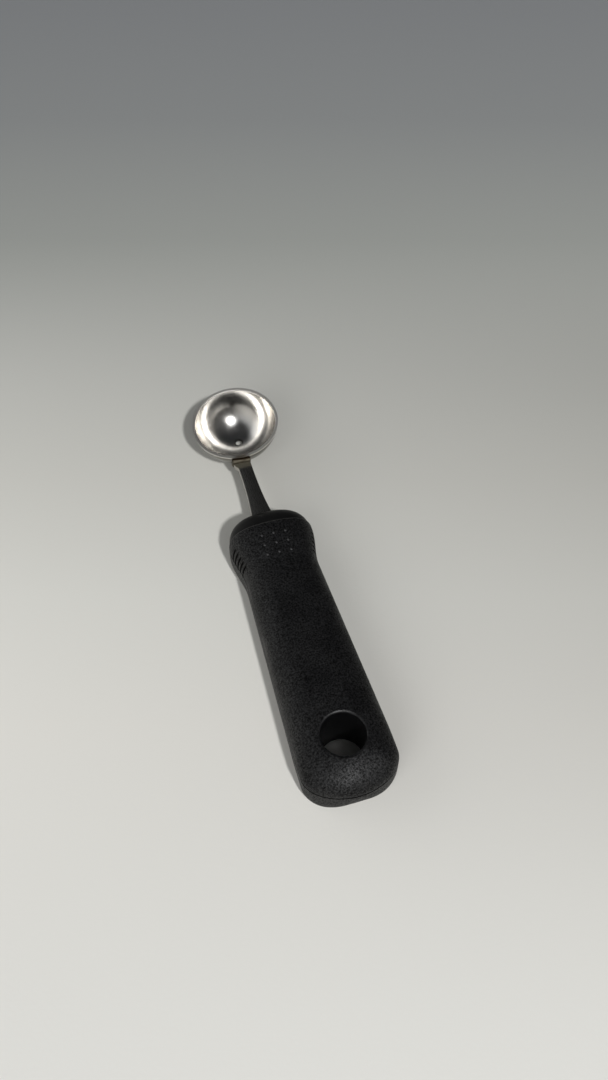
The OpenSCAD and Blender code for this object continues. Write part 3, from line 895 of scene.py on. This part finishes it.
class BALLER_OT_grip(bpy.types.Operator):
    """Models the soft grip with its hang hole, side grooves and dots"""
    bl_idname = "baller.grip"
    bl_label = "Grip"

    def execute(self, context):
        p = Parts(context)
        h = p.handle
        steps, long_steps = 20, 70
        turns = [math.pi / 2 * i / steps for i in range(1, steps + 1)]
        stations = [h.butt_round_l * (1 - math.cos(turn)) for turn in turns]
        front = h.length - h.nose_l
        stations += [mix(h.butt_round_l, front, i / long_steps) for i in range(1, long_steps + 1)]
        grip = loft_handle("grip_sleeve_soft", p, stations, 0)
        grip.data.materials.append(bpy.data.materials.new("grip"))
        cut_away(grip, self.hole_cutter(p))
        use_modifier(grip, "REMESH", mode="VOXEL", voxel_size=GRIP_MESH)
        use_modifier(grip, "SMOOTH", factor=0.5, iterations=4)
        sunk = bpy.data.materials.new("grooves")
        for i in range(5):
            s = h.length - h.grooves_back + (i - 2) * h.groove_pitch
            for side in (1, -1):
                cutter = self.groove_cutter(p, s, side)
                cutter.data.materials.append(sunk)
                cut_away(grip, cutter)
        finish = bpy.data.materials.new("dots")
        dots = [self.dot(p, i, j) for i in range(3) for j in range(3)]
        for dot in dots:
            dot.data.materials.append(finish)
        join([grip] + dots)
        settle(grip, 40)
        dress(grip, [grip_rubber(p), groove_rubber_shaded(p), dot_rubber_highlit(p)], "grip_sleeve")
        return {"FINISHED"}

    def hole_cutter(self, p):
        """A round cutter that opens out over the hole's rounded lip."""
        h = p.handle
        lip_z = h.parting_h + h.butt_rise - h.lip_r
        deselect()
        bpy.ops.mesh.primitive_cylinder_add(vertices=128, radius=h.hole_d / 2, depth=lip_z + 2 * MM)
        cutter = named("hole_cutter")
        bpy.ops.transform.translate(value=(0, 0, (lip_z - 2 * MM) / 2))
        pick(cutter, "FACE", lambda f: f.normal.z > 0.9)
        steps = 12
        z, r = lip_z, h.hole_d / 2
        for i in range(1, steps + 1):
            turn = math.pi / 2 * i / steps
            new_z = lip_z + h.lip_r * math.sin(turn)
            new_r = h.hole_d / 2 + h.lip_r * (1 - math.cos(turn))
            extrude((0, 0, new_z - z))
            bpy.ops.transform.resize(value=(new_r / r, new_r / r, 1), center_override=(0, 0, new_z))
            z, r = new_z, new_r
        extrude((0, 0, 3 * MM))
        face_outwards()
        bpy.ops.transform.translate(value=(0, h.hole_at - overall(p) / 2, 0))
        bpy.ops.object.mode_set(mode="OBJECT")
        return cutter

    def groove_cutter(self, p, s, side):
        """A thin wide disc that sinks one groove into the handle's side."""
        h = p.handle
        x = side_x(h, s, h.groove_up)
        half, rise = handle_size(h, s)[:2]
        power = h.section_power
        turn = math.atan2((h.groove_up / rise) ** (power - 1) / rise, (x / half) ** (power - 1) / half)
        reach = h.collar_w - h.groove_depth
        deselect()
        bpy.ops.mesh.primitive_cylinder_add(
            vertices=256, radius=h.collar_w, depth=h.groove_w, rotation=(math.pi / 2, 0, 0),
            location=(
                side * (x + reach * math.cos(turn)), s - overall(p) / 2,
                h.parting_h + h.groove_up + reach * math.sin(turn),
            ),
        )
        cutter = named("groove_cutter")
        pick(cutter, "FACE", lambda f: len(f.verts) > 4)
        bpy.ops.mesh.bevel(offset=0.2 * MM, segments=2)
        bpy.ops.object.mode_set(mode="OBJECT")
        return cutter

    def dot(self, p, i, j):
        """One small round dot on the collar."""
        h = p.handle
        x = (i - 1) * h.dot_pitch
        s = h.length - h.dots_back + (j - 1) * h.dot_row_pitch
        deselect()
        bpy.ops.mesh.primitive_uv_sphere_add(
            segments=24, ring_count=16, radius=h.dot_d / 2,
            location=(x, s - overall(p) / 2, top_z(h, s, x) + h.dot_rise - h.dot_d / 2),
        )
        dot = named("grip_dot")
        pick(dot, "VERT", lambda v: v.co.z < -0.3 * h.dot_d)
        bpy.ops.mesh.delete(type="VERT")
        pick(dot, "EDGE", lambda e: e.is_boundary)
        extrude((0, 0, -0.1 * MM))
        bpy.ops.mesh.edge_face_add()
        bpy.ops.object.mode_set(mode="OBJECT")
        return dot


class BALLER_OT_stage(bpy.types.Operator):
    """Sets the floor, the lamp, the studio's light and the camera"""
    bl_idname = "baller.stage"
    bl_label = "Stage"

    def execute(self, context):
        p = Parts(context)
        g = p.stage
        deselect()
        bpy.ops.mesh.primitive_circle_add(vertices=96, radius=3, fill_type="NGON")
        floor = named("floor")
        bpy.ops.object.mode_set(mode="OBJECT")
        floor.data.materials.append(floor_card(p))
        target = Vector((g.target_x, g.target_y, 0))
        view = self.toward(-g.turn, g.elevation)
        bpy.ops.object.camera_add(location=target + view * g.distance)
        camera = context.object
        camera.rotation_euler = view.to_track_quat("Z", "Y").to_euler()
        camera.data.lens = g.lens
        camera.data.sensor_width = 36
        camera.data.clip_start = 0.01
        context.scene.camera = camera
        way = self.toward(g.lamp_turn - g.turn, g.lamp_elevation)
        self.lamp(context, "studio_lamp", way * g.lamp_distance, g.lamp_d, g.lamp_power)
        # The fill lightens the shadows from the camera's side, and the steel doesn't mirror it
        way = self.toward(g.fill_turn - g.turn, g.fill_elevation)
        fill = self.lamp(context, "soft_fill", way * g.fill_distance, g.fill_d, g.fill_power)
        fill.visible_glossy = False
        self.studio(context, g)
        context.scene.view_settings.view_transform = "Standard"
        return {"FINISHED"}

    def lamp(self, context, name, place, size, power):
        """A round lamp that faces the tool."""
        bpy.ops.object.light_add(type="AREA", location=place)
        lamp = context.object
        lamp.name = name
        lamp.rotation_euler = place.to_track_quat("Z", "Y").to_euler()
        lamp.data.shape = "DISK"
        lamp.data.size = size
        lamp.data.energy = power
        return lamp

    def toward(self, turn, elevation):
        """A direction over the floor: turn 0 is in front of the butt, and turns go toward +X."""
        flat = math.cos(elevation)
        return Vector((math.sin(turn) * flat, -math.cos(turn) * flat, math.sin(elevation)))

    def studio(self, context, g):
        """A dim room with a wide soft light on the left, and a glow round the lamp."""
        world = bpy.data.worlds.new("Studio")
        context.scene.world = world
        world.use_nodes = True
        tree = world.node_tree
        way = add_node(tree, "TexCoord").outputs["Generated"]
        height = add_node(tree, "SeparateXYZ", {"Vector": way}).outputs["Z"]
        side = add_node(tree, "VectorMath", {
            0: way, 1: self.toward(g.window_turn - g.turn, 0),
        }, operation="DOT_PRODUCT")
        wall = add_node(tree, "MapRange", {
            "Value": side, "From Min": -0.15, "From Max": 0.7, "To Min": 0.06, "To Max": 0.6,
        }, **SMOOTH)
        total = add_node(tree, "MapRange", {
            "Value": height, "From Min": 0.6, "From Max": 0.86, "To Min": wall, "To Max": 0.032,
        }, **SMOOTH)
        # Each glow: turn and height, the angles where it ends and where it is full, and its strength
        glows = (
            (math.radians(-95), math.radians(22), 34, 8, 0.5),
            (g.glow_turn, g.glow_elevation, 14, 9.5, 1.5),
        )
        for turn, elevation, wide, narrow, strength in glows:
            aim = self.toward(turn - g.turn, elevation)
            near = add_node(tree, "VectorMath", {0: way, 1: aim}, operation="DOT_PRODUCT")
            ends, full = math.cos(math.radians(wide)), math.cos(math.radians(narrow))
            glow = add_node(tree, "MapRange", {
                "Value": near, "From Min": ends, "From Max": full, "To Min": 0, "To Max": strength,
            }, **SMOOTH)
            total = add_node(tree, "Math", {0: total, 1: glow}, operation="ADD")
        tone = add_node(tree, "ValToRGB", {"Fac": height}, stops=(
            (0.4, linear("#FFFEFA")), (0.9, linear("#E6EDF5")),
        ))
        set_inputs(tree, tree.nodes["Background"], {"Strength": total, "Color": tone})


class BALLER_PT_panel(bpy.types.Panel):
    """Lists the pieces and their sizes"""
    bl_idname = "BALLER_PT_panel"
    bl_label = "Melon Baller"
    bl_space_type = "VIEW_3D"
    bl_region_type = "UI"
    bl_category = "Melon Baller"

    def draw(self, context):
        scene = context.scene
        groups = (
            (scene.baller_scoop, ("baller.scoop",)),
            (scene.baller_shank, ("baller.shank", "baller.weld")),
            (scene.baller_handle, ("baller.core", "baller.grip")),
            (scene.baller_stage, ("baller.stage",)),
        )
        for settings, operators in groups:
            box = self.layout.box()
            for key in settings.__annotations__:
                box.prop(settings, key)
            for name in operators:
                box.operator(name)


GROUPS = {
    "baller_scoop": ScoopSettings, "baller_shank": ShankSettings,
    "baller_handle": HandleSettings, "baller_stage": StageSettings,
}
CLASSES = (
    *GROUPS.values(), BALLER_OT_scoop, BALLER_OT_shank, BALLER_OT_weld, BALLER_OT_core,
    BALLER_OT_grip, BALLER_OT_stage, BALLER_PT_panel,
)


def register():
    for cls in CLASSES:
        bpy.utils.register_class(cls)
    for name, group in GROUPS.items():
        setattr(bpy.types.Scene, name, bpy.props.PointerProperty(type=group))


def unregister():
    for name in GROUPS:
        delattr(bpy.types.Scene, name)
    for cls in reversed(CLASSES):
        bpy.utils.unregister_class(cls)


def main():
    register()
    bpy.ops.baller.scoop()
    bpy.ops.baller.shank()
    bpy.ops.baller.weld()
    bpy.ops.baller.core()
    bpy.ops.baller.grip()
    bpy.ops.baller.stage()
    deselect()


if __name__ == "__main__":
    main()
